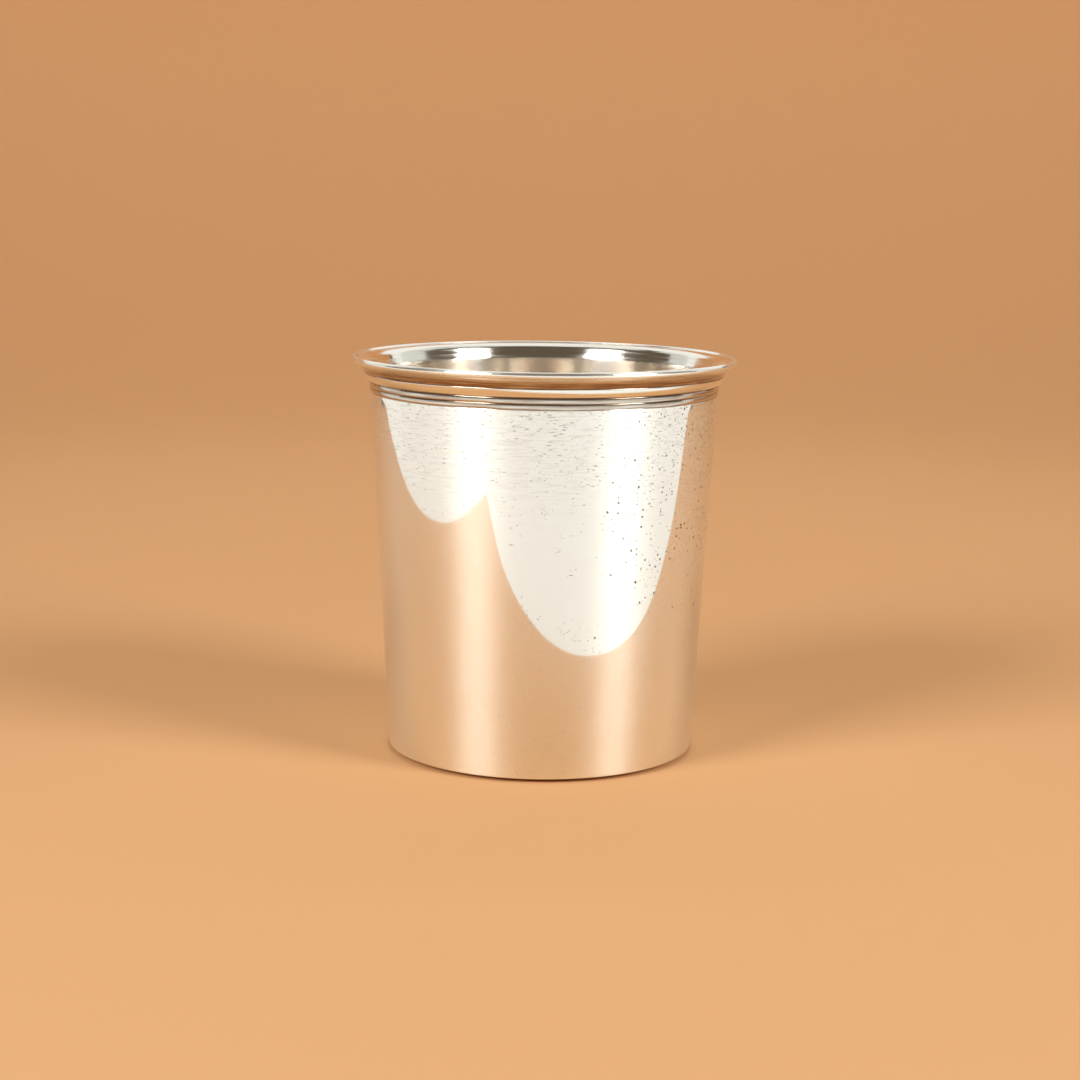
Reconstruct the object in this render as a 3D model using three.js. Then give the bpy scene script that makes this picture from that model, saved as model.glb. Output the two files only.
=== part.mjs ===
// Silver drinking beaker: a tapered wall of sheet, a bottom plate soldered into its turned-in foot, and a
// moulded rim built up from rings that sit on the wall's set-in neck.
// Millimetres, +Z up, with the origin on the table at the middle of the foot.

import * as THREE from "three";

// Driving dimensions of the wall and the bottom
const overallHeight = 80;
const footDiameter = 62; // the wall's outer line, carried down to the table
const shoulderDiameter = 69.8; // the wall's outer line, just under the reeds
const wallThickness = 0.7;
const footCornerRadius = 1;
const footLedgeWidth = 3; // flat ring that the beaker stands on
const baseThickness = 0.8;
const baseDome = 0.5; // how far the middle of the bottom is pushed up
const filletLeg = 1.6; // solder in the inside corner, along the bottom and up the wall
const filletHollow = 0.35;

// Driving dimensions of the rim
const neckDepth = 0.45; // how far the neck is set in, to take the rings
const reedHeight = 1.1;
const reedProud = 0.1; // crest of a reed over the line of the wall
const reedBulge = 0.1; // crest of a reed over its own edges
const beadHeight = 1.8;
const beadSpread = 1.05; // how far the bead's top stands out past its foot
const beadBulge = 0.19;
const rimHeight = 3.3; // lip ring and wire, above the wall's top edge
const lipOverhang = 3.65; // from the shoulder out to the edge of the mouth
const lipWireDiameter = 1.2;
const wireSeatWidth = 0.9;
const wireSeatAngle = THREE.MathUtils.degToRad(30); // the way the seat faces, above level
const coveHollow = 0.2;
const throatHeight = 2; // straight part of the mouth's inside, above the wall's top edge
const throatSpread = 0.85; // how far the throat opens over that height

const solderGap = 0.05; // film of solder between two pieces that fit round each other

// Facets
const turnSegments = 72;
const cornerSteps = 4;
const bowSteps = 4;
const flareSteps = 6;
const wireSides = 12;

const point = (radius, height) => new THREE.Vector2(radius, height);

// Heights of the joints, worked down from the mouth
const neckTop = overallHeight - rimHeight;
const beadFoot = neckTop - beadHeight;
const upperReedFoot = beadFoot - reedHeight;
const shoulderHeight = upperReedFoot - reedHeight;

// Radii that the pieces share
const footRadius = footDiameter / 2;
const shoulderRadius = shoulderDiameter / 2;
const neckRadius = shoulderRadius - neckDepth;
const neckInside = neckRadius - wallThickness;
const ringBore = neckRadius + solderGap;

// The wall leans outwards from foot to shoulder. Its inside runs parallel to its outside, and the reeds and
// the foot of the bead lie along the same line.
const lean = Math.atan2(shoulderRadius - footRadius, shoulderHeight);
const wallLine = (height) => footRadius + height * Math.tan(lean);
const insideLine = (height) => wallLine(height) - wallThickness / Math.cos(lean);
const beadTopRadius = wallLine(beadFoot) + beadSpread;
const cornerCentre = point(
  footRadius + footCornerRadius * (Math.tan(lean) - 1 / Math.cos(lean)),
  footCornerRadius,
);
const ledgeInside = cornerCentre.x - footLedgeWidth;
const discRadius = cornerCentre.x - solderGap;
const baseTop = wallThickness + baseThickness;

// Quarter bend of the foot corner, between the table and the leaning wall
function cornerBend(radius, towardsTable) {
  const [from, to] = towardsTable ? [-lean, -Math.PI / 2] : [-Math.PI / 2, -lean];
  const { x, y } = cornerCentre;
  return new THREE.EllipseCurve(x, y, radius, radius, from, to, towardsTable).getPoints(cornerSteps);
}

// Shallow curve whose middle stands off its chord by bulge, to the right of the way from start to end
function bow(start, end, bulge) {
  const chord = end.clone().sub(start);
  const right = point(chord.y, -chord.x).normalize();
  const control = start.clone().lerp(end, 0.5).addScaledVector(right, 2 * bulge);
  return new THREE.QuadraticBezierCurve(start, control, end).getPoints(bowSteps);
}

// Solid of revolution about Z. The outline runs anticlockwise in radius and height.
function turned(outline) {
  const startsOnAxis = outline[0].x === 0;
  const profile = startsOnAxis ? outline : [...outline, outline[0]];
  return new THREE.LatheGeometry(profile, turnSegments).rotateX(Math.PI / 2);
}

function bodyWall() {
  const setInFoot = shoulderHeight - wallThickness;
  return turned([
    point(ledgeInside, 0),
    ...cornerBend(footCornerRadius, false),
    point(shoulderRadius, shoulderHeight),
    point(neckRadius, shoulderHeight),
    point(neckRadius, neckTop),
    point(neckInside, neckTop),
    point(neckInside, shoulderHeight),
    point(insideLine(setInFoot), setInFoot),
    ...cornerBend(footCornerRadius - wallThickness, true),
    point(ledgeInside, wallThickness),
  ]);
}

// Bottom plate: a flat margin on the ledge, and a middle pushed up so that the beaker never rocks
function baseDisc() {
  const under = wallThickness;
  const rise = baseDome / 4;
  return turned([
    ...bow(point(0, under + baseDome), point(ledgeInside, under), -rise),
    point(discRadius, under),
    point(discRadius, baseTop),
    ...bow(point(ledgeInside, baseTop), point(0, baseTop + baseDome), rise),
  ]);
}

// Radius of the wall's inside at a height, less a film of solder
function solderedInside(height) {
  const bend = footCornerRadius - wallThickness - solderGap;
  const bendTop = cornerCentre.y - bend * Math.sin(lean);
  if (height < bendTop) return cornerCentre.x + Math.sqrt(bend ** 2 - (cornerCentre.y - height) ** 2);
  return insideLine(height) - solderGap / Math.cos(lean);
}

function baseSolder() {
  const toe = point(discRadius - filletLeg, baseTop);
  const wallSide = [];
  for (let step = 0; step <= cornerSteps; step += 1) {
    const height = baseTop + (filletLeg * step) / cornerSteps;
    wallSide.push(point(solderedInside(height), height));
  }
  const crest = wallSide.pop();
  const hollow = bow(crest, toe, -filletHollow);
  hollow.pop();
  return turned([toe, ...wallSide, ...hollow]);
}

// Flat-backed ring with a rounded face, on the neck
function reed(foot) {
  const edge = (height) => wallLine(height) + reedProud - reedBulge;
  const top = foot + reedHeight;
  return turned([
    point(ringBore, foot),
    ...bow(point(edge(foot), foot), point(edge(top), top), reedBulge),
    point(ringBore, top),
  ]);
}

function neckBead() {
  const foot = point(wallLine(beadFoot), beadFoot);
  return turned([
    point(ringBore, beadFoot),
    ...bow(foot, point(beadTopRadius, neckTop), beadBulge),
    point(ringBore, neckTop),
  ]);
}

// Centre of the lip wire's section
const wireRadius = lipWireDiameter / 2;
const wireCentre = point(shoulderRadius + lipOverhang - wireRadius, overallHeight - wireRadius);

// Flared mouth: a cove outside, a bell-mouth inside, and a slanting seat for the wire along its edge. Inside,
// the throat opens in a straight line and then bends out to the seat.
function lipRing() {
  const facing = point(Math.cos(wireSeatAngle), Math.sin(wireSeatAngle));
  const alongSeat = point(-facing.y, facing.x);
  const seatMiddle = wireCentre.clone().addScaledVector(facing, -(wireRadius + solderGap));
  const seatOutside = seatMiddle.clone().addScaledVector(alongSeat, -wireSeatWidth / 2);
  const seatInside = seatMiddle.clone().addScaledVector(alongSeat, wireSeatWidth / 2);
  const foot = point(neckInside, neckTop);
  const throatTop = point(foot.x + throatSpread, foot.y + throatHeight);
  const bend = foot.clone().lerp(throatTop, (seatInside.y - foot.y) / throatHeight);
  const flare = new THREE.QuadraticBezierCurve(seatInside, bend, throatTop).getPoints(flareSteps);
  return turned([
    foot,
    ...bow(point(beadTopRadius, neckTop), seatOutside, -coveHollow),
    ...flare,
  ]);
}

function lipWire() {
  const ring = new THREE.TorusGeometry(wireCentre.x, wireRadius, wireSides, turnSegments);
  return ring.translate(0, 0, wireCentre.y);
}

const polished = { color: 0xe9e2d4, metalness: 1, roughness: 0.14 };
const tarnishedInGrooves = { color: 0xcfc0a6, metalness: 1, roughness: 0.22 };
const satinInside = { color: 0xdcd3c2, metalness: 1, roughness: 0.3 };
const solderMetal = { color: 0xd6cdb4, metalness: 1, roughness: 0.35 };

const beaker = new THREE.Group();

function add(name, geometry, finish) {
  const mesh = new THREE.Mesh(geometry, new THREE.MeshStandardMaterial(finish));
  mesh.name = name;
  beaker.add(mesh);
}

add("body_wall", bodyWall(), polished);
add("base_disc", baseDisc(), satinInside);
add("base_solder", baseSolder(), solderMetal);
add("lower_reed", reed(shoulderHeight), tarnishedInGrooves);
add("upper_reed", reed(upperReedFoot), tarnishedInGrooves);
add("neck_bead", neckBead(), tarnishedInGrooves);
add("lip_ring", lipRing(), tarnishedInGrooves);
add("lip_wire", lipWire(), polished);

export default beaker;
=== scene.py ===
# %% [markdown]
# # A silver beaker
#
# This lesson dresses a plain drinking beaker of sterling silver. Its eight pieces are already settled: their radii
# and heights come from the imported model, which is loaded first and never moved. Here each piece gets a finer surface
# with softened edges, and a finish with the marks of long use. Everything is in metres, with +Z up and the table at
# zero, and -Y is the side that faces the camera.

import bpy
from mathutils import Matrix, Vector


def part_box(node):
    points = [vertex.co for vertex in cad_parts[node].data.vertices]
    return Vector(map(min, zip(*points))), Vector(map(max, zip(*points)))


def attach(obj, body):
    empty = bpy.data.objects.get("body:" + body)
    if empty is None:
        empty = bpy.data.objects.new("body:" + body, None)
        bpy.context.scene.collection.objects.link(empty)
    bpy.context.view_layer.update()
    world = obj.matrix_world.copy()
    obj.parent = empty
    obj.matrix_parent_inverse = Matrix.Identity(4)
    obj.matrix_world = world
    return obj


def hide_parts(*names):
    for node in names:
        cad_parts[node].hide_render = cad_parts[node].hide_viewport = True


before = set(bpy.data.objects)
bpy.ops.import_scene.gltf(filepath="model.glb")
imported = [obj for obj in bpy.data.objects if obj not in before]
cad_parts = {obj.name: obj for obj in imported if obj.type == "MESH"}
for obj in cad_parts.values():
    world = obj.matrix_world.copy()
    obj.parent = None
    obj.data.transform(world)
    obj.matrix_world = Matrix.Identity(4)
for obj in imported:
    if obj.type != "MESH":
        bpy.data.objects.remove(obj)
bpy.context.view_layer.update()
print("nodes:", sorted(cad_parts))

# %% Modules and units
import math

import bpy
import numpy as np
from mathutils import Matrix

MM = 0.001

# %% [markdown]
# ## Curves for a profile
#
# Every piece of a beaker is a ring or a disc about one axis, so its whole shape is in its section: a closed outline in
# radius and height. One could draw that outline as a Blender curve and spin it, but a spin leaves a seam to merge and
# a curve hides its numbers. Here the outline is an array of points in millimetres, made from straight stretches, arcs
# and shallow bows, and the corners between them are softened, because no edge on worn silver is sharp.

# %% Straight stretches, arcs and bows
FINE = 400  # points on a curve before it is thinned to the steps it needs


def straight(start, end):
    """Points on a straight line: the start, plus equal shares of the way to the end."""
    return np.linspace(start, end, FINE)


def arc(centre, radius, first, last):
    """Points on a circle: the centre, plus the radius times the cosine and sine of angles from first to last, in
    degrees above level."""
    angle = np.radians(np.linspace(first, last, FINE))
    return np.asarray(centre) + radius * np.stack([np.cos(angle), np.sin(angle)], axis=1)


def bend(start, corner, end):
    """Quadratic curve that leaves the start and reaches the end along the lines to a corner point."""
    start, corner, end = (np.asarray(place, float) for place in (start, corner, end))
    share = np.linspace(0, 1, FINE)[:, None]
    return (1 - share) ** 2 * start + 2 * share * (1 - share) * corner + share**2 * end


def bow(start, end, bulge):
    """Bend whose middle stands off its chord by bulge, to the right of the way from start to end."""
    chord = np.subtract(end, start)
    right = np.array([chord[1], -chord[0]]) / np.hypot(*chord)
    return bend(start, np.add(start, end) / 2 + 2 * bulge * right, end)


print("a bow with a bulge of 1 stands off its chord by %.2f" % bow((0, 0), (0, 10), 1.0)[:, 0].max())

# %% Outlines with softened corners
CORNER_STEPS = 6


def thinned(curve, steps, cut_start, cut_end):
    """The curve at equal steps of its length, less a little at each end. Points are interpolated by length."""
    length = np.concatenate([[0.0], np.cumsum(np.hypot(*np.diff(curve, axis=0).T))])
    at = np.linspace(cut_start, length[-1] - cut_end, steps + 1)
    return np.stack([np.interp(at, length, curve[:, 0]), np.interp(at, length, curve[:, 1])], axis=1)


def outline(*stretches, closed=True):
    """One profile from stretches laid end to end, each a curve, its steps and the softness of the corner after it.
    A corner is a quadratic curve whose control point is the sharp corner, between points that lie its softness
    away along each stretch."""
    softness = [stretch[2] for stretch in stretches]
    before = [softness[-1] if closed else 0.0] + softness[:-1]
    share = np.linspace(0, 1, CORNER_STEPS + 1)[1:-1, None]
    laid = [thinned(curve, steps, cut, soft) for (curve, steps, soft), cut in zip(stretches, before)]
    pieces = []
    for here, following, (curve, _, soft) in zip(laid, laid[1:] + laid[:1], stretches):
        if soft:
            corner = (1 - share) ** 2 * here[-1] + 2 * share * (1 - share) * curve[-1] + share**2 * following[0]
            pieces += [here, corner]
        else:
            pieces.append(here[:-1])  # the next stretch starts at this point
    return np.concatenate(pieces if closed else pieces + [laid[-1][-1:]])


test_square = outline((straight((1, 0), (2, 0)), 1, 0.1), (straight((2, 0), (2, 1)), 1, 0.1),
                      (straight((2, 1), (1, 1)), 1, 0.1), (straight((1, 1), (1, 0)), 1, 0.1))
print("a softened square has", len(test_square), "points")

# %% [markdown]
# ## From outline to solid
#
# The outline is carried round the axis on a grid: one parameter runs along the outline and the other round the
# beaker. The vertex places, the faces and the UV map are whole arrays. A disc's outline starts and ends on the axis,
# so its two ends are closed by fans of triangles, and every other outline closes on itself. The UV map runs round the
# beaker and along the outline, so that the grain of the metal follows the turning.

# %% Carry an outline round the axis
TURNS = 360


def turned(name, profile, marks=None, shape=None):
    """Solid of revolution. Vertex (i, j) is at radius r_i, height z_i and angle j of TURNS, so x is r cos, y is r sin.
    A shape function may add to the radius at each angle and height. Marks are numbers along the outline, kept as
    attributes of the mesh."""
    on_axis = profile[0, 0] < 1e-9
    rows = profile[1:-1] if on_axis else profile
    count = len(rows)
    angle = np.linspace(0, 2 * np.pi, TURNS + 1) + np.pi / 2  # the seam lies at the back
    radius, height = rows[:, :1] + 0 * angle[:-1], rows[:, 1:] + 0 * angle[:-1]
    if shape is not None:
        radius = radius + shape(angle[:-1] + 0 * radius, height)
    places = np.stack([radius * np.cos(angle[:-1]), radius * np.sin(angle[:-1]), height], axis=2).reshape(-1, 3)

    i = np.arange(count - 1 if on_axis else count)[:, None]
    j = np.arange(TURNS)[None, :]
    after, beside = (i + 1) % count, (j + 1) % TURNS
    quads = np.stack([i * TURNS + j, i * TURNS + beside, after * TURNS + beside, after * TURNS + j], axis=2)
    faces = quads.reshape(-1, 4).tolist()

    length = np.concatenate([[0.0], np.cumsum(np.hypot(*np.diff(profile, axis=0).T))])
    if not on_axis:
        length = np.append(length, length[-1] + np.hypot(*(profile[0] - profile[-1])))
    along = length / length[-1]
    first = 1 if on_axis else 0
    u, v = np.arange(TURNS + 1) / TURNS, along[first:]
    low, high = v[i] + 0.0 * j, v[i + 1] + 0.0 * j
    left, right = u[j] + 0.0 * i, u[j + 1] + 0.0 * i
    uv = np.stack([left, low, right, low, right, high, left, high], axis=2).reshape(-1)

    if on_axis:
        poles = np.array([[0, 0, profile[0, 1]], [0, 0, profile[-1, 1]]])
        places = np.concatenate([places, poles])
        ring, beside = np.arange(TURNS), (np.arange(TURNS) + 1) % TURNS
        start = np.stack([ring * 0 + count * TURNS, beside, ring], axis=1)
        top = (count - 1) * TURNS
        end = np.stack([ring * 0 + count * TURNS + 1, top + ring, top + beside], axis=1)
        faces += start.tolist() + end.tolist()
        left, right = u[:-1], u[1:]
        middle = (left + right) / 2
        start_uv = np.stack([middle, 0 * left, right, 0 * left + v[0], left, 0 * left + v[0]], axis=1)
        end_uv = np.stack([middle, 0 * left + 1, left, 0 * left + v[-2], right, 0 * left + v[-2]], axis=1)
        uv = np.concatenate([uv, start_uv.reshape(-1), end_uv.reshape(-1)])

    mesh = bpy.data.meshes.new(name)
    mesh.from_pydata((places * MM).tolist(), [], faces)
    mesh.uv_layers.new(name="OFBake").data.foreach_set("uv", uv)
    for mark, values in (marks or {}).items():
        spread = np.repeat(values[1:-1] if on_axis else values, TURNS)
        spread = np.append(spread, [values[0], values[-1]]) if on_axis else spread
        mesh.attributes.new(mark, "FLOAT", "POINT").data.foreach_set("value", spread)
    mesh.shade_smooth()
    mesh.update()
    piece = bpy.data.objects.new(name, mesh)
    bpy.context.scene.collection.objects.link(piece)
    print("%-12s %6d vertices" % (name, len(mesh.vertices)))
    return piece


print("outlines are carried round in steps of %.1f degrees" % (360 / TURNS))

# %% [markdown]
# ## Sizes
#
# The radii and heights that pieces share are read from the boxes of the imported nodes, so this scene follows the model.
# Only what a box can't tell, such as a corner's radius, is written here, in millimetres.

# %% Sizes from the frame and given ones
def span(node):
    """Greatest radius, lowest height and highest height of a packed ring, in millimetres."""
    low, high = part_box(node)
    return high.x / MM, low.z / MM, high.z / MM


shoulder_radius, _, neck_top = span("body_wall")
_, shoulder_height, upper_reed_foot = span("lower_reed")
bead_top_radius, bead_foot, _ = span("neck_bead")
lip_radius, wire_low, wire_high = span("lip_wire")
disc_radius, wall_thickness, disc_crown = span("base_disc")
_, base_top, solder_top = span("base_solder")

foot_radius = 31.0  # the wall's outer line, carried down to the table
corner_radius = 1.0
ledge_width = 3.0
neck_depth = 0.45
solder_gap = 0.05
edge_softness = 0.12

lean = math.atan2(shoulder_radius - foot_radius, shoulder_height)
neck_radius = shoulder_radius - neck_depth
neck_inside = neck_radius - wall_thickness
ring_bore = neck_radius + solder_gap
corner_centre = (foot_radius + corner_radius * (math.tan(lean) - 1 / math.cos(lean)), corner_radius)
ledge_inside = corner_centre[0] - ledge_width


def wall_line(height):
    """Outer radius of the wall at a height: the foot's radius plus the height times the slope."""
    return foot_radius + height * math.tan(lean)


def inside_line(height):
    """Inner radius of the wall at a height, one thickness in from the outer line and parallel to it."""
    return wall_line(height) - wall_thickness / math.cos(lean)


print("the wall leans out by %.2f degrees and is %.1f mm thick" % (math.degrees(lean), wall_thickness))

# %% [markdown]
# ## The wall
#
# The body is one sleeve of sheet silver: raised or spun, then turned in at the foot to make the ring that it stands on,
# and set in at the top to make a neck for the rim's rings. Long use leaves sheet this thin a little out of true. A
# noise texture as bump could show that, but its waves wouldn't be in the mesh, so the radius itself swells and sinks
# by a few thousandths of a millimetre, and a knock low on the right has left a shallow slanting crease. On a mirror
# even that much bends the edges of what it reflects.

# %% How far the wall is out of true
WAVES = ((3, 21.0, 0.3, 0.0045), (5, 34.0, 1.9, 0.0035), (8, 15.0, 4.1, 0.0015), (2, 47.0, 2.6, 0.006))
CREASE_ANGLE = math.radians(-64)
CREASE_HEIGHT = 16.0
CREASE_LEAN = math.radians(18)
CREASE_DEPTH = 0.05
CREASE_WIDTH, CREASE_LENGTH = 1.7, 6.0
FADE_LENGTH = 8.0


def out_of_true(angle, height):
    """Sum of cosine waves, each with lobes round the beaker, a length up the wall, a phase and a height in
    millimetres, faded out at both ends of the wall, less one crease: a bell that is long along a leaning line."""
    swell = sum(tall * np.cos(lobes * angle + phase + 2 * np.pi * height / length)
                for lobes, length, phase, tall in WAVES)
    fade = np.clip(height / FADE_LENGTH, 0, 1) * np.clip((shoulder_height - height) / FADE_LENGTH, 0, 1)
    across = ((angle - CREASE_ANGLE + np.pi) % (2 * np.pi) - np.pi) * foot_radius
    up = height - CREASE_HEIGHT
    along = (across * math.sin(CREASE_LEAN) + up * math.cos(CREASE_LEAN)) / CREASE_LENGTH
    aside = (across * math.cos(CREASE_LEAN) - up * math.sin(CREASE_LEAN)) / CREASE_WIDTH
    return swell * fade - CREASE_DEPTH * np.exp(-along**2 - aside**2)


turns, heights = np.meshgrid(np.linspace(0, 2 * np.pi, 181), np.linspace(0, shoulder_height, 71))
print("the wall is out of true by %.3f mm at most" % np.abs(out_of_true(turns, heights)).max())

# %% The wall's outline
JOGGLE_SOFTNESS = 0.35
ROLL_HEIGHT = 1.6  # the wall's top rolls in a little under the reeds
ROLL_DEPTH = 0.035
EDGE_INSET = 3.4  # under its edge the foot slopes in to the ring that it stands on, so a dark gap shows
EDGE_LIFT = 0.8
EDGE_SOFTNESS = 0.25
set_in_foot = shoulder_height - wall_thickness
lean_degrees = math.degrees(lean)
inner_corner = corner_radius - wall_thickness
foot_edge = (wall_line(EDGE_LIFT), EDGE_LIFT)
ring_outside = (foot_edge[0] - EDGE_INSET, 0)
inner_end = corner_centre + inner_corner * np.array([math.cos(lean), -math.sin(lean)])
roll_foot, roll_middle = shoulder_height - ROLL_HEIGHT, shoulder_height - ROLL_HEIGHT / 2
roll_start, roll_corner = (wall_line(roll_foot), roll_foot), (wall_line(roll_middle), roll_middle)
shoulder = (shoulder_radius - ROLL_DEPTH, shoulder_height)
joggle_foot = (inside_line(set_in_foot), set_in_foot)

wall_profile = outline(
    (straight((ledge_inside, 0), ring_outside), 2, EDGE_SOFTNESS),
    (straight(ring_outside, foot_edge), 6, EDGE_SOFTNESS),
    (straight(foot_edge, roll_start), 72, 0.0),
    (bend(roll_start, roll_corner, shoulder), 10, edge_softness),
    (straight(shoulder, (neck_radius, shoulder_height)), 1, edge_softness),
    (straight((neck_radius, shoulder_height), (neck_radius, neck_top)), 2, edge_softness),
    (straight((neck_radius, neck_top), (neck_inside, neck_top)), 1, edge_softness),
    (straight((neck_inside, neck_top), (neck_inside, shoulder_height)), 4, JOGGLE_SOFTNESS),
    (straight((neck_inside, shoulder_height), joggle_foot), 2, JOGGLE_SOFTNESS),
    (straight(joggle_foot, inner_end), 48, 0.0),
    (arc(corner_centre, inner_corner, -lean_degrees, -90), 8, 0.0),
    (straight((corner_centre[0], wall_thickness), (ledge_inside, wall_thickness)), 2, edge_softness),
    (straight((ledge_inside, wall_thickness), (ledge_inside, 0)), 1, edge_softness),
)
is_inside = np.arange(len(wall_profile)) > np.argmax(wall_profile[:, 1])
body_wall = turned("beaker_wall", wall_profile, {"inside": is_inside.astype(float)}, out_of_true)

# %% [markdown]
# ## The bottom
#
# A round plate drops in from the mouth onto the turned-in ledge, and a fillet of solder runs round the corner inside.
# The plate's middle is pushed up a little, so that the beaker stands on its ring and never rocks.

# %% Bottom plate
DOME_SOFTNESS = 0.3
rise = (disc_crown - base_top) / 4  # with this bulge the dome is level at the axis
base_profile = outline(
    (bow((0, wall_thickness + 4 * rise), (ledge_inside, wall_thickness), -rise), 28, DOME_SOFTNESS),
    (straight((ledge_inside, wall_thickness), (disc_radius, wall_thickness)), 3, edge_softness),
    (straight((disc_radius, wall_thickness), (disc_radius, base_top)), 1, edge_softness),
    (straight((disc_radius, base_top), (ledge_inside, base_top)), 3, DOME_SOFTNESS),
    (bow((ledge_inside, base_top), (0, disc_crown), rise), 28, 0.0),
    closed=False,
)
base_disc = turned("bottom_plate", base_profile)

# %% The solder that holds it
FILLET_HOLLOW = 0.35
FILLET_SOFTNESS = 0.05
fillet_leg = solder_top - base_top
film = solder_gap / math.cos(lean)
fillet_toe = (disc_radius - fillet_leg, base_top)
fillet_heel = (inside_line(base_top) - film, base_top)
fillet_crest = (inside_line(solder_top) - film, solder_top)
solder_profile = outline(
    (straight(fillet_toe, fillet_heel), 4, FILLET_SOFTNESS),
    (straight(fillet_heel, fillet_crest), 4, FILLET_SOFTNESS),
    (bow(fillet_crest, fillet_toe, -FILLET_HOLLOW), 18, FILLET_SOFTNESS),
)
base_solder = turned("bottom_solder", solder_profile)

# %% [markdown]
# ## The rim
#
# The rim is a stack of rings on the neck: two reeds almost flush with the wall, a bead that swells outwards, a lip
# with a cove under it, and a round wire along the edge. A single moulded ring would look alike from afar, but the
# thin dark lines between real rings come from their softened edges meeting in a small groove, so each stays a piece
# of its own. Hand rubbing polishes the crests and leaves brown tarnish in the hollows. A mark along each outline says
# how deep in a hollow a point lies, and the finish reads it.

# %% Two reeds
REED_BULGE = 0.06
REED_SOFTNESS = 0.07
GROOVE_REACH = 0.11
REED_TARNISH = 0.55  # even the crests are a little brown


def reed(name, foot, top):
    """Ring with a flat back on the neck and a face that bows out from the line of the wall."""
    low, high = (wall_line(foot), foot), (wall_line(top), top)
    profile = outline(
        (straight((ring_bore, foot), low), 2, REED_SOFTNESS),
        (bow(low, high, REED_BULGE), 14, REED_SOFTNESS),
        (straight(high, (ring_bore, top)), 2, REED_SOFTNESS),
        (straight((ring_bore, top), (ring_bore, foot)), 2, REED_SOFTNESS),
    )
    from_edge = np.minimum(profile[:, 1] - foot, top - profile[:, 1])
    groove = np.exp(-((from_edge / GROOVE_REACH) ** 2))
    return turned(name, profile, {"tarnish": REED_TARNISH + (1 - REED_TARNISH) * groove})


lower_reed = reed("lower_reed_ring", shoulder_height, upper_reed_foot)
upper_reed = reed("upper_reed_ring", upper_reed_foot, bead_foot)

# %% The bead
BEAD_CORNER = (0.86, 0.28)  # shares of the bead's spread and height: it swells out low and then stands up
# Heights above the bead's foot, and the tarnish there
BEAD_TARNISH = ((0.0, 1.0), (0.12, 0.7), (0.3, 0.0), (1.5, 0.0), (1.72, 0.6), (1.8, 1.0))
bead_low, bead_high = np.array([wall_line(bead_foot), bead_foot]), np.array([bead_top_radius, neck_top])
bead_corner = bead_low + BEAD_CORNER * (bead_high - bead_low)
bead_profile = outline(
    (straight((ring_bore, bead_foot), bead_low), 2, edge_softness),
    (bend(bead_low, bead_corner, bead_high), 24, edge_softness),
    (straight(bead_high, (ring_bore, neck_top)), 3, edge_softness),
    (straight((ring_bore, neck_top), (ring_bore, bead_foot)), 2, edge_softness),
)
above_foot, mark = np.transpose(BEAD_TARNISH)
bead_tarnish = np.interp(bead_profile[:, 1], bead_foot + above_foot, mark)
neck_bead = turned("neck_bead_ring", bead_profile, {"tarnish": bead_tarnish})

# %% The flared lip
COVE_HOLLOW = 0.2
THROAT_HEIGHT = 2.0  # the mouth's inside opens in a straight line, then bends out to the wire
THROAT_SPREAD = 0.85
SEAT_FROM, SEAT_TO = -104.0, -208.0  # where the wire lies in the lip, in degrees about the wire's own middle
SEAT_CLEARANCE, SEAT_SOFTNESS = 0.02, 0.05
# Heights above the neck, and the tarnish there
COVE_TARNISH = ((0.0, 1.0), (0.2, 1.0), (1.0, 0.95), (1.5, 0.4), (2.1, 0.15))
wire_radius = (wire_high - wire_low) / 2
wire_centre = np.array([lip_radius - wire_radius, wire_low + wire_radius])
seat = arc(wire_centre, wire_radius + SEAT_CLEARANCE, SEAT_FROM, SEAT_TO)
lip_foot = (neck_inside, neck_top)
throat = np.array([THROAT_SPREAD, THROAT_HEIGHT])
mouth_corner = lip_foot + throat * (seat[-1][1] - neck_top) / THROAT_HEIGHT
lip_profile = outline(
    (straight(lip_foot, bead_high), 4, edge_softness),
    (bow(bead_high, seat[0], -COVE_HOLLOW), 34, SEAT_SOFTNESS),
    (seat, 14, SEAT_SOFTNESS),
    (bend(seat[-1], mouth_corner, lip_foot + throat), 36, 0.0),
    (straight(lip_foot + throat, lip_foot), 16, edge_softness),
)
up_to_seat = np.arange(len(lip_profile)) <= np.argmax(lip_profile[:, 0])
above_neck, mark = np.transpose(COVE_TARNISH)
cove_tarnish = np.interp(lip_profile[:, 1], neck_top + above_neck, mark)
lip_ring = turned("flared_lip", lip_profile, {"tarnish": up_to_seat * cove_tarnish})

# %% The edge wire
WIRE_STEPS = 48
wire_profile = arc(wire_centre, wire_radius, 0, 360)[:: FINE // WIRE_STEPS][:WIRE_STEPS]
lip_wire = turned("lip_edge_wire", wire_profile, {"inside": np.zeros(len(wire_profile))})

# %% [markdown]
# ## Finishes
#
# Sterling silver is the whitest of metals and, polished, an almost perfect mirror, so its colour comes from what it
# faces. What makes it look used is in the detail: hairlines round the turning, small pits, short ticks and brown
# silver sulphide in the hollows. Image textures could carry these, but a procedural pattern has no seam and keeps its
# size, so each finish is one metal shader whose colour, roughness and bump read patterns in object space.

# %% Colour and node helpers
def linear(code):
    """Linear colour of an sRGB hex value: each channel over 255, then the sRGB curve undone."""
    channels = np.array([int(code[k:k + 2], 16) for k in (1, 3, 5)]) / 255
    straightened = np.where(channels <= 0.04045, channels / 12.92, ((channels + 0.055) / 1.055) ** 2.4)
    return (*straightened.tolist(), 1.0)


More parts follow.
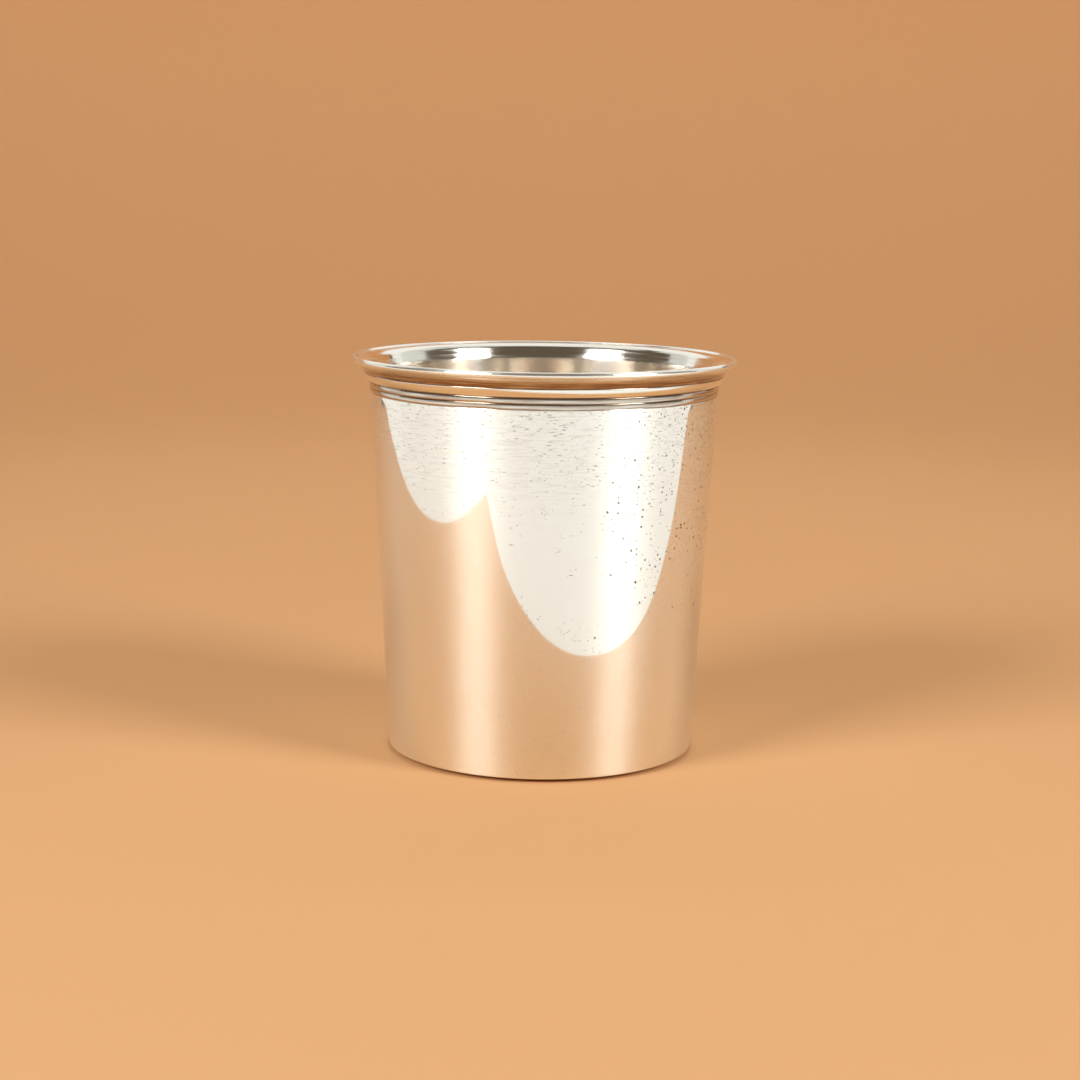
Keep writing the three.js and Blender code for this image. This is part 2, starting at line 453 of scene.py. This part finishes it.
def add(tree, kind, inputs, **settings):
    """Adds a node with its settings. Each input gets a value, or a link where it is given another node's socket."""
    new = tree.nodes.new(kind)
    for name, value in settings.items():
        setattr(new, name, value)
    for name, value in inputs.items():
        if isinstance(value, bpy.types.NodeSocket):
            tree.links.new(value, new.inputs[name])
        else:
            new.inputs[name].default_value = value
    return new


def per_mm(*sizes):
    """Pattern scale for object coordinates in metres, from the size of one cell in millimetres."""
    return tuple(1 / (size * MM) for size in sizes)


def new_finish(name):
    """An empty material with a metal shader wired to its output, and its tree."""
    material = bpy.data.materials.new(name)
    material.use_nodes = True
    tree = material.node_tree
    tree.nodes.clear()
    shader = add(tree, "ShaderNodeBsdfPrincipled", {"Metallic": 1.0})
    add(tree, "ShaderNodeOutputMaterial", {"Surface": shader.outputs["BSDF"]})
    return material, tree, shader


print("half of full sRGB is %.3f in linear light" % linear("#808080")[0])

# %% [markdown]
# ### Polished sterling silver
#
# The wall was turned and buffed, so under the mirror lie fine lines that all run round it. They are far finer than a
# pixel, and show only as haze. Between them the metal is smooth and gives crisp reflections. The lines are rough
# across their length, so they smear each lamp into a soft upright streak: that is the shader's anisotropy, turned a
# quarter so that the smear runs up the wall. A thin film of dried polish adds a faint bloom. Pits crowd the
# right-hand side, fine dust lies in patches, and short ticks and faint scuffs run along the turning near the top.
# The dust is drawn at 0.1 to 0.3 mm, coarser than it is, so that it shows.

# %% Hairlines
HAIRLINE = 0.004
HAIRLINE_LENGTH = 0.15  # shorter than real ones, which would show as grain in the streaks


def hairline_roughness(tree, place, inside):
    """Smooth metal with rough lines where a stretched noise is high, and an even satin inside the beaker."""
    stretched = add(tree, "ShaderNodeMapping",
                    {"Vector": place, "Scale": per_mm(HAIRLINE_LENGTH, HAIRLINE_LENGTH, HAIRLINE)})
    hairlines = add(tree, "ShaderNodeTexNoise",
                    {"Vector": stretched.outputs["Vector"], "Scale": 1.0, "Detail": 2.0, "Roughness": 0.6})
    lined = add(tree, "ShaderNodeMapRange", {
        "Value": hairlines.outputs["Fac"], "From Min": 0.515, "From Max": 0.55, "To Min": 0.025, "To Max": 0.5})
    even = add(tree, "ShaderNodeMapRange", {
        "Value": hairlines.outputs["Fac"], "From Min": 0.35, "From Max": 0.65, "To Min": 0.08, "To Max": 0.26})
    roughness = add(tree, "ShaderNodeMix", {
        "Factor": inside, "A": lined.outputs["Result"], "B": even.outputs["Result"]})
    return roughness.outputs["Result"]


print("hairlines are %.3f mm high, where a pixel is about 0.2 mm" % HAIRLINE)

# %% Spots
SPOT_EDGE = 0.05  # how soft a spot's edge is, as a share of the cell


def spots(tree, place, cell, radii, density):
    """Spots in a Voronoi pattern whose cells have these sizes in millimetres. A cell has a spot where its first random
    number is under the density, and the second one sets the spot's radius, as a share of the cell."""
    spread = add(tree, "ShaderNodeMapping", {"Vector": place, "Scale": per_mm(*cell)})
    cells = add(tree, "ShaderNodeTexVoronoi", {"Vector": spread.outputs["Vector"], "Scale": 1.0})
    chance = add(tree, "ShaderNodeSeparateColor", {"Color": cells.outputs["Color"]})
    chosen = add(tree, "ShaderNodeMath", {0: chance.outputs["Red"], 1: density}, operation="LESS_THAN")
    size = add(tree, "ShaderNodeMapRange", {
        "Value": chance.outputs["Green"], "To Min": radii[0], "To Max": radii[1]})
    depth = add(tree, "ShaderNodeMath", {0: size.outputs["Result"], 1: cells.outputs["Distance"]},
                operation="SUBTRACT")
    soft = add(tree, "ShaderNodeMapRange", {"Value": depth.outputs[0], "From Min": 0.0, "From Max": SPOT_EDGE})
    return add(tree, "ShaderNodeMath", {0: chosen.outputs[0], 1: soft.outputs["Result"]},
               operation="MULTIPLY").outputs[0]


print("a spot's edge fades over %.2f of its cell" % SPOT_EDGE)

# %% Pits, dust and ticks
PIT_SIDE = (0.93, -0.37, 0.0)  # pits crowd where the wall faces this way
PITS_FROM, PITS_FULL = 24.0, 50.0  # heights between which the pits grow thick
CLUSTER = 9.0  # size of the patches that marks gather in
TREMOR, SHAKE = 0.5, 0.4  # size of a fine noise, and how far it shakes the spots out of round
PIT_CELL, PIT_RADII = (0.95, 0.95, 0.95), (0.07, 0.3)
DUST_CELL, DUST_RADII = (0.5, 0.5, 0.5), (0.12, 0.3)
TICK_CELL, TICK_RADII = (1.9, 1.9, 0.4), (0.1, 0.28)
FAINTER = 0.5  # dust and ticks against pits


def dark_marks(tree, place, height, near_top):
    """Pits on one side, dust in patches there and ticks near the top: the darkest of the three at each place."""
    tremor = add(tree, "ShaderNodeTexNoise", {"Vector": place, "Scale": per_mm(TREMOR)[0], "Detail": 2.0})
    shaken = add(tree, "ShaderNodeVectorMath",
                 {0: tremor.outputs["Color"], 1: (SHAKE * MM,) * 3, 2: place}, operation="MULTIPLY_ADD").outputs[0]
    level = add(tree, "ShaderNodeVectorMath", {0: place, 1: (1, 1, 0)}, operation="MULTIPLY")
    outward = add(tree, "ShaderNodeVectorMath", {0: level.outputs[0]}, operation="NORMALIZE")
    towards = add(tree, "ShaderNodeVectorMath", {0: outward.outputs[0], 1: PIT_SIDE}, operation="DOT_PRODUCT")
    clusters = add(tree, "ShaderNodeTexNoise", {"Vector": place, "Scale": per_mm(CLUSTER)[0], "Detail": 2.0})

    side_share = add(tree, "ShaderNodeMapRange", {
        "Value": towards.outputs["Value"], "From Min": 0.6, "From Max": 0.95, "To Min": 0.0, "To Max": 1.3})
    in_cluster = add(tree, "ShaderNodeMapRange", {
        "Value": clusters.outputs["Fac"], "From Min": 0.4, "From Max": 0.6, "To Min": 0.5, "To Max": 1.2})
    high_up = add(tree, "ShaderNodeMapRange", {
        "Value": height, "From Min": PITS_FROM * MM, "From Max": PITS_FULL * MM, "To Min": 0.02, "To Max": 1.0})
    pit_share = add(tree, "ShaderNodeMath", {0: side_share.outputs["Result"], 1: in_cluster.outputs["Result"]},
                    operation="MULTIPLY")
    pit_share = add(tree, "ShaderNodeMath", {0: pit_share.outputs[0], 1: high_up.outputs["Result"]},
                    operation="MULTIPLY")
    pits = spots(tree, shaken, PIT_CELL, PIT_RADII, pit_share.outputs[0])

    dusty_side = add(tree, "ShaderNodeMapRange", {
        "Value": towards.outputs["Value"], "From Min": 0.1, "From Max": 0.9, "To Min": 0.1, "To Max": 1.0})
    dusty = add(tree, "ShaderNodeMapRange", {
        "Value": clusters.outputs["Fac"], "From Min": 0.5, "From Max": 0.62, "To Min": 0.0, "To Max": 0.8})
    dust_share = add(tree, "ShaderNodeMath", {0: dusty_side.outputs["Result"], 1: dusty.outputs["Result"]},
                     operation="MULTIPLY")
    dust = spots(tree, shaken, DUST_CELL, DUST_RADII, dust_share.outputs[0])

    ticked_side = add(tree, "ShaderNodeMapRange", {
        "Value": towards.outputs["Value"], "From Min": -0.2, "From Max": 0.3, "To Min": 0.35, "To Max": 1.0})
    tick_share = add(tree, "ShaderNodeMath", {0: near_top, 1: ticked_side.outputs["Result"]}, operation="MULTIPLY")
    tick_share = add(tree, "ShaderNodeMath", {0: tick_share.outputs[0], 1: in_cluster.outputs["Result"]},
                     operation="MULTIPLY")
    ticks = spots(tree, shaken, TICK_CELL, TICK_RADII, tick_share.outputs[0])

    fine = add(tree, "ShaderNodeMath", {0: dust, 1: ticks}, operation="MAXIMUM")
    faint = add(tree, "ShaderNodeMath", {0: fine.outputs[0], 1: FAINTER}, operation="MULTIPLY")
    return add(tree, "ShaderNodeMath", {0: pits, 1: faint.outputs[0]}, operation="MAXIMUM").outputs[0]


MARKS = (("pits", PIT_CELL, PIT_RADII), ("dust", DUST_CELL, DUST_RADII), ("ticks", TICK_CELL, TICK_RADII))
for kind, cell, radii in MARKS:
    print("%s are %.2f to %.2f mm long" % (kind, 2 * radii[0] * cell[0], 2 * radii[1] * cell[0]))

# %% Scuffs
SCUFF = (3.5, 3.5, 0.35)


def scuffs(tree, place, near_top):
    """Faint dull patches that run along the turning, thickest near the top."""
    stretched = add(tree, "ShaderNodeMapping", {"Vector": place, "Scale": per_mm(*SCUFF)})
    rubs = add(tree, "ShaderNodeTexNoise",
               {"Vector": stretched.outputs["Vector"], "Scale": 1.0, "Detail": 4.0, "Roughness": 0.7})
    dulled = add(tree, "ShaderNodeMapRange", {
        "Value": rubs.outputs["Fac"], "From Min": 0.5, "From Max": 0.75, "To Min": 0.0, "To Max": 0.18})
    return add(tree, "ShaderNodeMath", {0: dulled.outputs["Result"], 1: near_top}, operation="MULTIPLY").outputs[0]


print("scuffs are about %.1f mm long and %.2f mm high" % SCUFF[1:])

# %% Polished silver
TICKS_FROM, TICKS_FULL = 48.0, 69.0  # heights between which ticks and scuffs grow thick
PIT_DEPTH = 0.006
HAZE = 0.04  # share of the surface that a dull film of dried polish covers


def polished_silver():
    """Mirror silver with hairlines, a thin haze, pits, dust, ticks and scuffs, and a satin inside."""
    material, tree, shader = new_finish("polished_sterling_silver")
    place = add(tree, "ShaderNodeTexCoord", {}).outputs["Object"]
    inside = add(tree, "ShaderNodeAttribute", {}, attribute_name="inside").outputs["Fac"]
    height = add(tree, "ShaderNodeSeparateXYZ", {"Vector": place}).outputs["Z"]
    near_top = add(tree, "ShaderNodeMapRange", {
        "Value": height, "From Min": TICKS_FROM * MM, "From Max": TICKS_FULL * MM,
        "To Min": 0.02, "To Max": 1.9}).outputs["Result"]
    on_wall = add(tree, "ShaderNodeMath", {0: height, 1: shoulder_height * MM}, operation="LESS_THAN")
    outside = add(tree, "ShaderNodeMath", {0: on_wall.outputs[0], 1: inside}, operation="SUBTRACT",
                  use_clamp=True).outputs[0]
    dirt = add(tree, "ShaderNodeMath", {0: dark_marks(tree, place, height, near_top), 1: outside},
               operation="MULTIPLY").outputs[0]
    rubbed = add(tree, "ShaderNodeMath", {0: scuffs(tree, place, near_top), 1: outside},
                 operation="MULTIPLY").outputs[0]
    worn = add(tree, "ShaderNodeMath", {0: dirt, 1: rubbed}, operation="MAXIMUM")

    clean = add(tree, "ShaderNodeMix", {
        "Factor": inside, "A": linear("#F9F7EC"), "B": linear("#FBF3E7")}, data_type="RGBA")
    colour = add(tree, "ShaderNodeMix", {
        "Factor": worn.outputs[0], "A": clean.outputs["Result"], "B": linear("#786858")}, data_type="RGBA")
    sunk = add(tree, "ShaderNodeBump", {"Height": dirt, "Strength": 1.0, "Distance": PIT_DEPTH * MM}, invert=True)

    tree.links.new(colour.outputs["Result"], shader.inputs["Base Color"])
    tree.links.new(hairline_roughness(tree, place, inside), shader.inputs["Roughness"])
    tree.links.new(sunk.outputs["Normal"], shader.inputs["Normal"])
    shader.inputs["Metallic"].default_value = 1 - HAZE
    shader.inputs["Anisotropic"].default_value = 0.87
    shader.inputs["Anisotropic Rotation"].default_value = 0.25
    return material


mirror = polished_silver()
print(mirror.name, "has", len(mirror.node_tree.nodes), "nodes")

# %% [markdown]
# ### Rim silver, satin bottom and solder
#
# The rings are the same metal. In the cove and the grooves a film of sulphide turns it brown, which the tarnish mark
# mixes in, broken up by streaks along the turning, 9 mm long and 0.3 mm high. The bottom plate is satin from turning
# and from years of washing, with rings about its middle. Solder holds less silver and more brass, so it is yellower
# and dull.

# %% Rim silver
RIM_STREAK = (9.0, 9.0, 0.3)


def rim_silver():
    """Silver that goes brown where the tarnish mark is high."""
    material, tree, shader = new_finish("rim_silver_with_tarnish")
    place = add(tree, "ShaderNodeTexCoord", {}).outputs["Object"]
    tarnish = add(tree, "ShaderNodeAttribute", {}, attribute_name="tarnish")
    stretched = add(tree, "ShaderNodeMapping", {"Vector": place, "Scale": per_mm(*RIM_STREAK)})
    streaks = add(tree, "ShaderNodeTexNoise",
                  {"Vector": stretched.outputs["Vector"], "Scale": 1.0, "Detail": 3.0, "Roughness": 0.6})
    patchy = add(tree, "ShaderNodeMapRange", {
        "Value": streaks.outputs["Fac"], "From Min": 0.3, "From Max": 0.7, "To Min": 0.45, "To Max": 1.35})
    amount = add(tree, "ShaderNodeMath", {0: tarnish.outputs["Fac"], 1: patchy.outputs["Result"]},
                 operation="MULTIPLY", use_clamp=True)
    colour = add(tree, "ShaderNodeMix", {
        "Factor": amount.outputs[0], "A": linear("#F1EEE1"), "B": linear("#96785C")}, data_type="RGBA")
    roughness = add(tree, "ShaderNodeMapRange", {
        "Value": streaks.outputs["Fac"], "From Min": 0.35, "From Max": 0.75, "To Min": 0.07, "To Max": 0.3})
    tree.links.new(colour.outputs["Result"], shader.inputs["Base Color"])
    tree.links.new(roughness.outputs["Result"], shader.inputs["Roughness"])
    shader.inputs["Anisotropic"].default_value = 0.6
    shader.inputs["Anisotropic Rotation"].default_value = 0.25
    return material


rim = rim_silver()
print(rim.name, "has", len(rim.node_tree.nodes), "nodes")

# %% Satin silver
TURNED_RING, RING_DEPTH = 0.5, 0.004


def satin_silver():
    """Satin silver with fine rings about the axis."""
    material, tree, shader = new_finish("satin_sterling_silver")
    place = add(tree, "ShaderNodeTexCoord", {}).outputs["Object"]
    level = add(tree, "ShaderNodeVectorMath", {0: place, 1: (1, 1, 0)}, operation="MULTIPLY")
    radius = add(tree, "ShaderNodeVectorMath", {0: level.outputs[0]}, operation="LENGTH")
    rings = add(tree, "ShaderNodeTexNoise", {
        "W": radius.outputs["Value"], "Scale": per_mm(TURNED_RING)[0], "Detail": 3.0, "Roughness": 0.7},
        noise_dimensions="1D")
    roughness = add(tree, "ShaderNodeMapRange", {
        "Value": rings.outputs["Fac"], "From Min": 0.3, "From Max": 0.7, "To Min": 0.24, "To Max": 0.42})
    colour = add(tree, "ShaderNodeMix", {
        "Factor": rings.outputs["Fac"], "A": linear("#EEE8DC"), "B": linear("#DCD3C2")}, data_type="RGBA")
    turned_lines = add(tree, "ShaderNodeBump", {
        "Height": rings.outputs["Fac"], "Strength": 1.0, "Distance": RING_DEPTH * MM})
    tree.links.new(colour.outputs["Result"], shader.inputs["Base Color"])
    tree.links.new(roughness.outputs["Result"], shader.inputs["Roughness"])
    tree.links.new(turned_lines.outputs["Normal"], shader.inputs["Normal"])
    return material


satin = satin_silver()
print(satin.name, "has", len(satin.node_tree.nodes), "nodes")

# %% Solder
SKIN_WAVE, SKIN_DEPTH = 1.2, 0.03


def silver_solder():
    """Dull, slightly yellow solder with a wavy skin."""
    material, tree, shader = new_finish("hard_silver_solder")
    place = add(tree, "ShaderNodeTexCoord", {}).outputs["Object"]
    skin = add(tree, "ShaderNodeTexNoise", {"Vector": place, "Scale": per_mm(SKIN_WAVE)[0], "Detail": 3.0})
    colour = add(tree, "ShaderNodeMix", {
        "Factor": skin.outputs["Fac"], "A": linear("#E2D8BE"), "B": linear("#C9BC9B")}, data_type="RGBA")
    waves = add(tree, "ShaderNodeBump", {
        "Height": skin.outputs["Fac"], "Strength": 1.0, "Distance": SKIN_DEPTH * MM})
    tree.links.new(colour.outputs["Result"], shader.inputs["Base Color"])
    tree.links.new(waves.outputs["Normal"], shader.inputs["Normal"])
    shader.inputs["Roughness"].default_value = 0.38
    return material


solder = silver_solder()
print(solder.name, "has", len(solder.node_tree.nodes), "nodes")

# %% Dress the pieces
DRESSED = (
    (body_wall, "body_wall", "polished_silver", mirror),
    (base_disc, "base_disc", "satin_silver", satin),
    (base_solder, "base_solder", "silver_solder", solder),
    (lower_reed, "lower_reed", "rim_silver", rim),
    (upper_reed, "upper_reed", "rim_silver", rim),
    (neck_bead, "neck_bead", "rim_silver", rim),
    (lip_ring, "lip_ring", "rim_silver", rim),
    (lip_wire, "lip_wire", "polished_silver", mirror),
)
for piece, node, slot, finish in DRESSED:
    piece.data.materials.append(finish)
    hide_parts(node)
    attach(piece, "root")
    print(piece.name, "stands for", node, "in", finish.name)

# %% [markdown]
# ## The set
#
# Silver shows its surroundings, so the set matters as much as the metal. The beaker stands on a plain warm paper
# that curves up all round. Glowing white cards lie in front and to the left, just out of the picture, and give the
# tall white shapes on the wall; the cards glow instead of being lit, so these shapes are painted reflections.
# More glowing white cards hang above the paper behind and at both sides. A dim glowing screen round the camera
# paints a dark room into the reflections, so that every bend of the rim has its dark line. The cards and the screen
# show only in reflections. Two softboxes stand in front at either side, a third lamp lights the paper behind, and a
# weak one overhead fills in the floor.

# %% Sheets
def sheet(name, places, colour, glow=None):
    """Mesh of a grid of places, shaped (rows, columns, 3), with one plain matt or glowing material."""
    rows, columns = places.shape[:2]
    i, j = np.arange(rows - 1)[:, None], np.arange(columns - 1)[None, :]
    corner = i * columns + j
    faces = np.stack([corner, corner + 1, corner + columns + 1, corner + columns], axis=2).reshape(-1, 4)
    mesh = bpy.data.meshes.new(name)
    mesh.from_pydata(places.reshape(-1, 3).tolist(), [], faces.tolist())
    mesh.shade_smooth()
    material = bpy.data.materials.new(name)
    material.use_nodes = True
    tree = material.node_tree
    tree.nodes.clear()
    if glow is None:
        look = add(tree, "ShaderNodeBsdfDiffuse", {"Color": linear(colour)})
    else:
        look = add(tree, "ShaderNodeEmission", {"Color": linear(colour), "Strength": glow})
        material.cycles.emission_sampling = "NONE"
    add(tree, "ShaderNodeOutputMaterial", {"Surface": look.outputs[0]})
    mesh.materials.append(material)
    made = bpy.data.objects.new(name, mesh)
    bpy.context.scene.collection.objects.link(made)
    return made


def only_reflected(thing):
    """Leaves a stage piece in glossy reflections and out of everything else."""
    thing.visible_camera = False
    thing.visible_diffuse = False
    thing.visible_shadow = False
    thing.visible_transmission = False


# %% Paper
FLOOR_REACH, FLOOR_STEPS = 0.5, 40
SWEEP_LENGTH, SWEEP_STEPS = 0.75, 120
WALL_HEIGHT = 0.32
LOW_PAPER = 0.06  # on the right the paper rises only this far, so that the mouth sees past it
CARD_REACH, CARD_DROP = 0.95, 0.002  # in front a flat sheet runs on this far under the cards, a little lower
DROP_LENGTH = 0.005
PAPER_TURNS = 97
PAPER_COLOUR = "#D2A374"


def paper_part(name, line, first, last):
    """Part of the paper: a line of reach and height carried round from one azimuth to another. Azimuths are in
    degrees from the camera's side towards +X, so x is the reach times the sine and y is less the cosine."""
    turn = np.radians(np.linspace(first, last, PAPER_TURNS))
    reach, height = line[:, :1], line[:, 1:]
    places = np.stack([reach * np.sin(turn), -reach * np.cos(turn), height + 0 * turn], axis=2)
    return sheet(name, places, PAPER_COLOUR)


floor_line = np.stack([np.linspace(0.0, FLOOR_REACH, FLOOR_STEPS), np.zeros(FLOOR_STEPS)], axis=1)
# The paper bends up slowly at first, so no line shows on the floor
tilt = np.pi / 2 * np.linspace(0, 1, SWEEP_STEPS) ** 2
steps = np.stack([np.cos(tilt), np.sin(tilt)], axis=1) * SWEEP_LENGTH / len(tilt)
bent_up = [FLOOR_REACH, 0.0] + np.concatenate([[[0.0, 0.0]], np.cumsum(steps, axis=0)])
sweep_line = np.concatenate([bent_up, bent_up[-1:] + [0.0, WALL_HEIGHT]])
whole_line = np.concatenate([floor_line[:-1], sweep_line])
lowered = [[FLOOR_REACH + DROP_LENGTH, -CARD_DROP], [CARD_REACH, -CARD_DROP]]
under_cards = np.concatenate([floor_line, lowered])

floor_paper = paper_part("floor_paper", under_cards, -132, 112)
back_paper = paper_part("back_paper", whole_line, 138, 228)
side_paper = paper_part("side_paper", whole_line[whole_line[:, 1] < LOW_PAPER], 112, 138)
front_paper = paper_part("front_paper", sweep_line, -132, 112)
front_paper.visible_glossy = False  # the silver sees the glowing cards and the dark glowing screen there instead: painted reflections
print("paper:", floor_paper.name, back_paper.name, side_paper.name, front_paper.name)

# %% Glowing cards on the paper: painted reflections
WHITE = "#FFFFFF"
CARD_CORNER = np.array([-0.147, -0.205])
CARD_ALONG = np.array([0.867, 0.498])
CARD_LEFT = np.array([-0.470, 0.883])
CARD_LIFT = 0.0005
# The cards glow instead of being lit, so the white shapes they give the wall are painted reflections
CARD_GLOW = 1.09
FRONT_LENGTH, FRONT_WIDTH, LEFT_LENGTH = 1.2, 0.95, 0.9


def reflection_card(name, side_one, side_two):
    """Flat white card on the paper that glows and shows only in the silver, a painted reflection: the corner plus
    shares of two sides.
    """
    a, b = np.meshgrid(np.linspace(0, 1, 3), np.linspace(0, 1, 3), indexing="ij")
    flat = CARD_CORNER + a[..., None] * np.asarray(side_one) + b[..., None] * np.asarray(side_two)
    places = np.concatenate([flat, np.full((*a.shape, 1), CARD_LIFT)], axis=2)
    made = sheet(name, places, WHITE, glow=CARD_GLOW)
    only_reflected(made)
    return made


# Glowing white sheets in front and to the left, seen only in reflections: painted reflections
front_reflection_glow = reflection_card("front_reflection_glow", CARD_ALONG * FRONT_LENGTH, CARD_LEFT * -FRONT_WIDTH)
left_reflection_glow = reflection_card("left_reflection_glow", CARD_LEFT * LEFT_LENGTH, CARD_ALONG * -LEFT_LENGTH)
corner_reflection_glow = reflection_card("corner_reflection_glow", CARD_ALONG * -LEFT_LENGTH, CARD_LEFT * -FRONT_WIDTH)
print("cards on the paper:", front_reflection_glow.name, left_reflection_glow.name, corner_reflection_glow.name)

# %% Hanging glowing cards and a dark glowing screen: painted reflections
BACK_HALF, BACK_LOW, BACK_HIGH, BACK_PLACE = 0.8, 0.3, 0.95, 0.55
wide, tall = np.meshgrid(np.linspace(-BACK_HALF, BACK_HALF, 3), np.linspace(BACK_LOW, BACK_HIGH, 3), indexing="ij")
# A white glowing card behind, seen only in the silver: a painted reflection
back_reflection_glow = sheet("back_reflection_glow", np.stack([wide, 0 * wide + BACK_PLACE, tall], axis=2), WHITE, glow=1.0)
only_reflected(back_reflection_glow)

SCREEN_RADIUS = 1.25
SIDE_CARD_RADIUS = 1.1
# Colour and glow of a dim sheet that paints a dark room into the reflections
DARK_REFLECTION_COLOUR, DARK_REFLECTION_GLOW = "#50463B", 1.5
TURN_STEPS, TILT_STEPS = 60, 24


def dome_part(name, radius, azimuths, elevations, colour, glow):
    """Glowing part of a dome about the beaker, seen only in reflections, between two azimuths and two heights above
    level, in degrees.
    """
    turn, tilt = np.meshgrid(np.radians(np.linspace(*azimuths, TURN_STEPS)),
                             np.radians(np.linspace(*elevations, TILT_STEPS)), indexing="ij")
    places = radius * np.stack([np.sin(turn) * np.cos(tilt), -np.cos(turn) * np.cos(tilt), np.sin(tilt)], axis=2)
    made = sheet(name, places, colour, glow)
    only_reflected(made)
    return made


# A dim brown sheet glows round the camera and overhead, seen only in the silver: a painted reflection of a dark room
dark_room_glow = dome_part("dark_room_reflection", SCREEN_RADIUS, (-105, 105), (-1, 62), DARK_REFLECTION_COLOUR, DARK_REFLECTION_GLOW)
dark_ceiling_glow = dome_part("dark_ceiling_reflection", SCREEN_RADIUS, (-100, 100), (62, 90), DARK_REFLECTION_COLOUR, DARK_REFLECTION_GLOW)
# White glowing cards above the back and at both sides, seen only in the silver: painted reflections
top_reflection_glow = dome_part("top_reflection_glow", SCREEN_RADIUS, (100, 260), (58, 90), WHITE, glow=0.9)
right_reflection_glow = dome_part("right_reflection_glow", SIDE_CARD_RADIUS, (100, 130), (-1, 60), WHITE, glow=0.75)
far_left_reflection_glow = dome_part("far_left_reflection_glow", SIDE_CARD_RADIUS, (-132, -106), (-1, 50), WHITE, glow=0.7)
print("hung:", back_reflection_glow.name, dark_room_glow.name, dark_ceiling_glow.name, top_reflection_glow.name, right_reflection_glow.name, far_left_reflection_glow.name)

# %% Lamps and the dim room
AIM = np.array([0.0, 0.0, 0.04])
BACKDROP_AIM = np.array([0.0, 0.8, 0.06])
ROOM_COLOUR, ROOM_STRENGTH = "#D8CCC0", 0.2


def softbox(name, azimuth, elevation, distance, width, height, watts, aim=AIM):
    """Area lamp on a sphere about its aim. Azimuth runs from the camera's side towards +X."""
    a, e = math.radians(azimuth), math.radians(elevation)
    back = np.array([math.sin(a) * math.cos(e), -math.cos(a) * math.cos(e), math.sin(e)])
    lamp = bpy.data.lights.new(name, "AREA")
    lamp.shape, lamp.size, lamp.size_y, lamp.energy = "RECTANGLE", width, height, watts
    made = bpy.data.objects.new(name, lamp)
    z = back / np.linalg.norm(back)
    x = np.cross([0, 0, 1.0], z)
    x = x / np.linalg.norm(x)
    y = np.cross(z, x)
    spot = aim + back * distance
    made.matrix_world = Matrix([[x[k], y[k], z[k], spot[k]] for k in range(3)] + [[0, 0, 0, 1]])
    made.visible_camera = False
    bpy.context.scene.collection.objects.link(made)
    return made


left_box = softbox("left_softbox", azimuth=-48, elevation=28, distance=0.85, width=0.34, height=0.4, watts=6.0)
right_box = softbox("right_softbox", azimuth=58, elevation=28, distance=0.85, width=0.3, height=0.4, watts=5.6)
backdrop_lamp = softbox("backdrop_lamp", azimuth=0, elevation=55, distance=0.7, width=0.8, height=0.3, watts=2.25,
                        aim=BACKDROP_AIM)
top_lamp = softbox("top_lamp", azimuth=180, elevation=78, distance=0.8, width=0.5, height=0.4, watts=0.7)
backdrop_lamp.visible_glossy = False
top_lamp.visible_glossy = False

world = bpy.data.worlds.new("dim_room")
world.use_nodes = True
world.node_tree.nodes["Background"].inputs["Color"].default_value = linear(ROOM_COLOUR)
world.node_tree.nodes["Background"].inputs["Strength"].default_value = ROOM_STRENGTH
bpy.context.scene.world = world
print("lamps:", left_box.name, right_box.name, backdrop_lamp.name, top_lamp.name)

# %% [markdown]
# ## The camera
#
# The place, the lens and the small roll come from matching the lip, the wall and the foot to a picture of 1080 pixels.

# %% Camera
PICTURE = 1080
FOCAL_PIXELS = 2179.8
SENSOR = 36.0
CAMERA_PLACE = (0, -0.4378, 0.1166)
CAMERA_TURN, CAMERA_DIP, CAMERA_ROLL = 0.056, 9.621, 0.741  # in degrees
camera_data = bpy.data.cameras.new("portrait_camera")
camera_data.sensor_width = SENSOR
camera_data.lens = FOCAL_PIXELS * SENSOR / PICTURE
camera_data.clip_start = 0.001
camera = bpy.data.objects.new("portrait_camera", camera_data)
camera.matrix_world = (
    Matrix.Translation(CAMERA_PLACE)
    @ Matrix.Rotation(math.radians(CAMERA_TURN), 4, "Z")
    @ Matrix.Rotation(math.radians(90 - CAMERA_DIP), 4, "X")
    @ Matrix.Rotation(math.radians(CAMERA_ROLL), 4, "Z")
)
bpy.context.scene.collection.objects.link(camera)
bpy.context.scene.camera = camera
bpy.context.scene.view_settings.view_transform = "Standard"
print("lens %.2f mm" % camera_data.lens)
